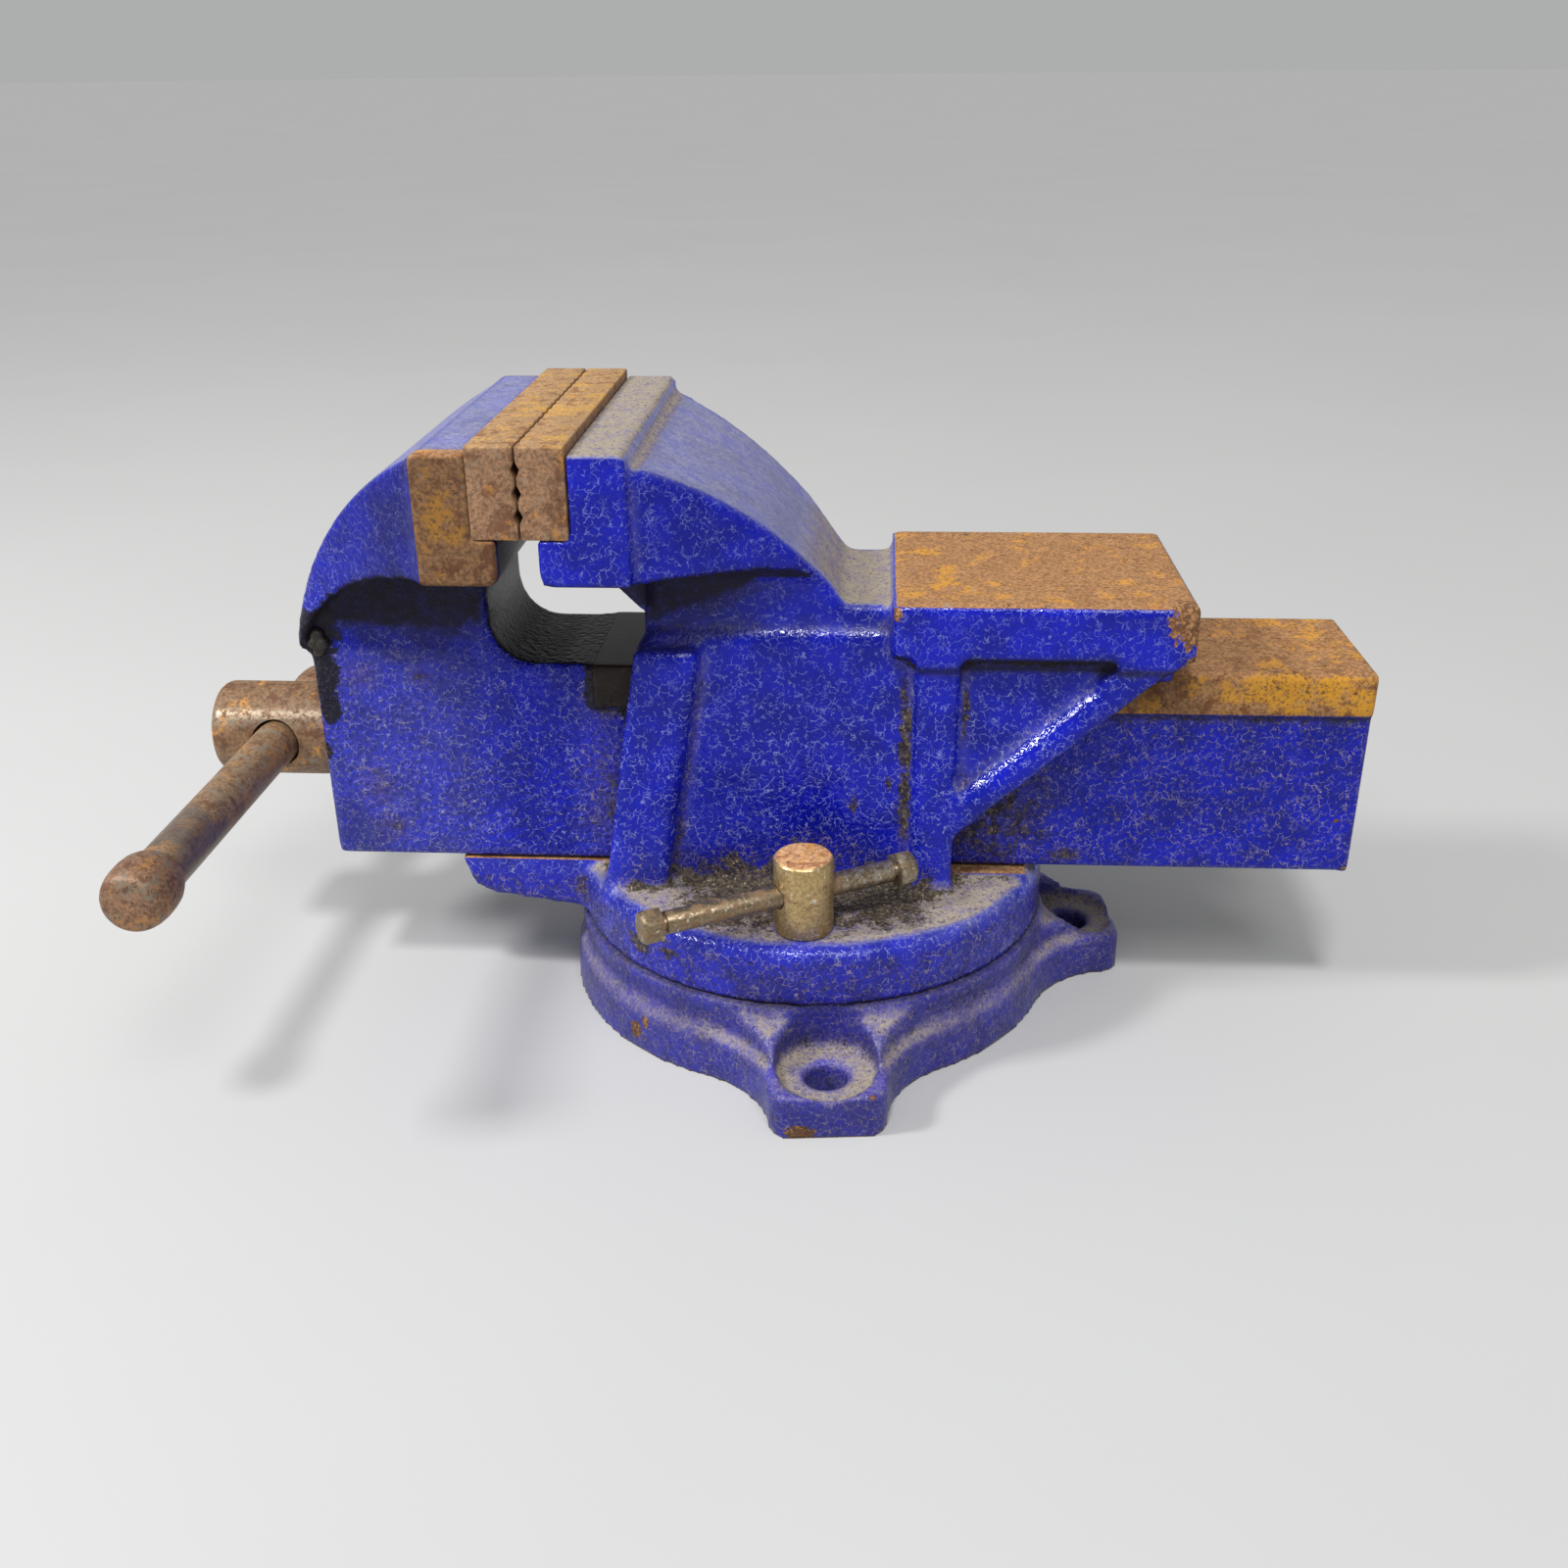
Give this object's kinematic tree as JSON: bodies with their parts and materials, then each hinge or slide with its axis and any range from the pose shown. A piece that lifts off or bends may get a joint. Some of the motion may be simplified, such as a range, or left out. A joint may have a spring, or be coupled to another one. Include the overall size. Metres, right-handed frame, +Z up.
{
  "type": "swivel base bench vise",
  "caption": "Bench vise on a swivel base, with toothed jaw plates, an anvil, a sliding jaw on a screw spindle with a bar handle, and bar-handled swivel locks.",
  "frame": {"origin": "on the swivel axis, on the bench face of the base, which is the middle of the two side bolt holes", "axes": "+Z up from the bench along the swivel axis, +X towards the rear lug, -Y towards the front lug; the vise is stored turned 5 degrees clockwise on its base, as pictured"},
  "size_m": [0.3192, 0.1845, 0.1648],
  "materials": {
    "blue_casting": "glossy hammered blue enamel",
    "jaw_plate": "bare, brown rust",
    "worn_steel": "worn bare steel with brown rust",
    "zinc_steel": "worn yellow zinc",
    "nut_iron": "bare cast iron",
    "dark_steel": "dark oiled steel"
  },
  "bodies": {
    "base": {"swivel_base": "blue_casting"},
    "fixed_body": {"fixed_jaw": "blue_casting", "fixed_jaw_plate": "jaw_plate", "fixed_plate_screws": "dark_steel", "spindle_nut": "nut_iron", "nut_bolt": "dark_steel", "front_clamp_nut": "dark_steel", "rear_clamp_nut": "dark_steel"},
    "sliding_jaw": {"moving_jaw": "blue_casting", "moving_jaw_plate": "jaw_plate", "moving_plate_screws": "dark_steel"},
    "screw": {"spindle": "worn_steel", "spindle_spring": "dark_steel", "spring_washer": "dark_steel", "split_pin": "dark_steel"},
    "handle": {"handle_bar": "worn_steel", "handle_knob_near": "worn_steel", "handle_knob_far": "worn_steel"},
    "front_lock": {"front_lock_screw": "zinc_steel"},
    "front_bar": {"front_lock_bar": "zinc_steel"},
    "rear_lock": {"rear_lock_screw": "zinc_steel"},
    "rear_bar": {"rear_lock_bar": "zinc_steel"}
  },
  "joints": [
    {"name": "swivel", "type": "hinge", "parent": "base", "child": "fixed_body", "pos_m": [0, 0, 0.0234], "axis": [0, 0, 1], "continuous": true},
    {"name": "jaw_slide", "type": "slide", "parent": "fixed_body", "child": "sliding_jaw", "axis": [-0.9962, 0.0872, 0], "range_m": [0, 0.1]},
    {"name": "screw_turn", "type": "hinge", "parent": "sliding_jaw", "child": "screw", "pos_m": [-0.13449, 0.01177, 0.0718], "axis": [-0.9962, 0.0872, 0], "range_deg": [0, 7201]},
    {"name": "handle_slide", "type": "slide", "parent": "screw", "child": "handle", "axis": [0.0872, 0.9962, -0.0087], "range_m": [-0.005, 0.078]},
    {"name": "front_lock_turn", "type": "hinge", "parent": "fixed_body", "child": "front_lock", "pos_m": [-0.00462, -0.0528, 0.05], "axis": [0, 0, 1], "range_deg": [-38, 6]},
    {"name": "front_bar_slide", "type": "slide", "parent": "front_lock", "child": "front_bar", "axis": [-0.9205, -0.3907, 0], "range_m": [0, 0.016]},
    {"name": "rear_lock_turn", "type": "hinge", "parent": "fixed_body", "child": "rear_lock", "pos_m": [0.00462, 0.0528, 0.05], "axis": [0, 0, 1], "range_deg": [-6, 38]},
    {"name": "rear_bar_slide", "type": "slide", "parent": "rear_lock", "child": "rear_bar", "axis": [-0.8387, 0.5446, 0], "range_m": [0, 0.016]}
  ],
  "couplings": [
    {"joint": "screw_turn", "follows": "jaw_slide", "rad_per_m": 1256.6}
  ]
}
